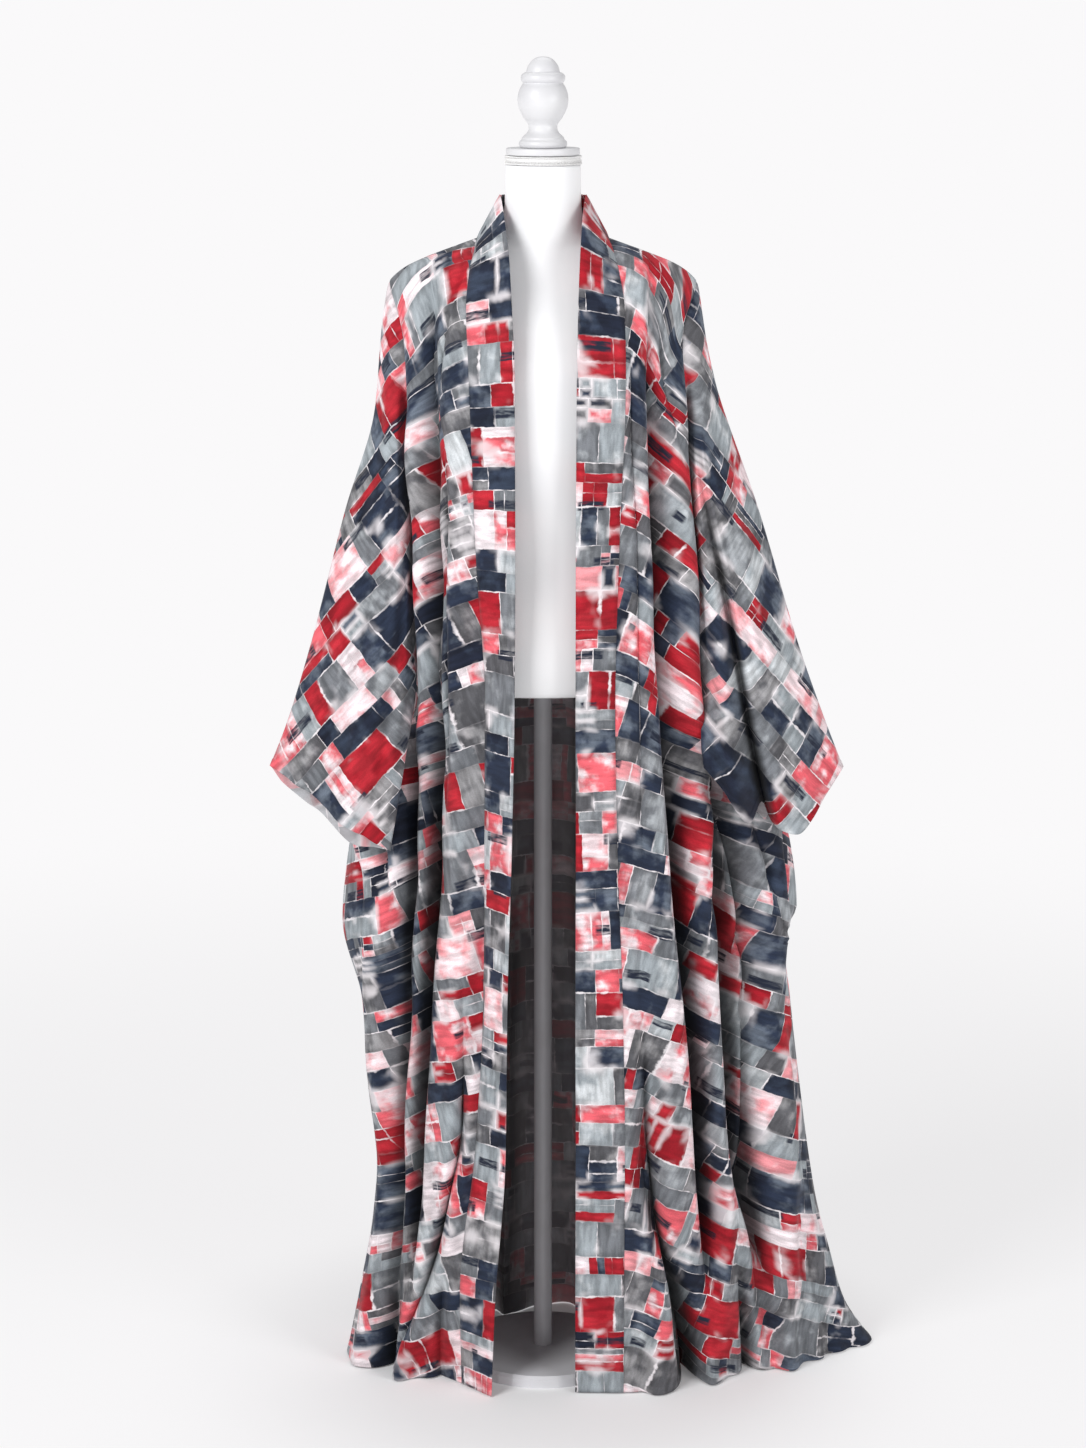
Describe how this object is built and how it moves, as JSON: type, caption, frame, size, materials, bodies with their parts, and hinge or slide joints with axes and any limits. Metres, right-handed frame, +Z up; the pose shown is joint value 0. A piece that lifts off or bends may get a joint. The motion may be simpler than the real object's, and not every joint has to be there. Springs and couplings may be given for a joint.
{
  "type": "kimono robe on a dress form",
  "caption": "Floor-length open kimono robe in patchwork-printed crepe with wide hanging sleeves and a long neckband, on a white dress form with a turned finial.",
  "frame": {"origin": "middle of the stand base's underside, on the floor", "axes": "+Z up along the stand, -Y out of the robe's open front, +X towards the wearer's left"},
  "size_m": [0.8319, 0.35, 1.7889],
  "materials": {
    "cloth": "soft crepe with a painterly patchwork print in red, navy, greys and pale pink",
    "band": "the same printed crepe, doubled",
    "form": "matt white jersey cover",
    "trim": "white braid",
    "lacquer": "satin white lacquer on turned wood",
    "stand": "satin white powder coat"
  },
  "bodies": {
    "root": {"back_panel": "cloth", "front_right": "cloth", "front_left": "cloth", "sleeve_right": "cloth", "sleeve_left": "cloth", "neckband": "band", "form_torso": "form", "neck_trim": "trim", "neck_plate": "lacquer", "finial": "lacquer", "pole": "stand", "stand_base": "stand"}
  },
  "joints": []
}
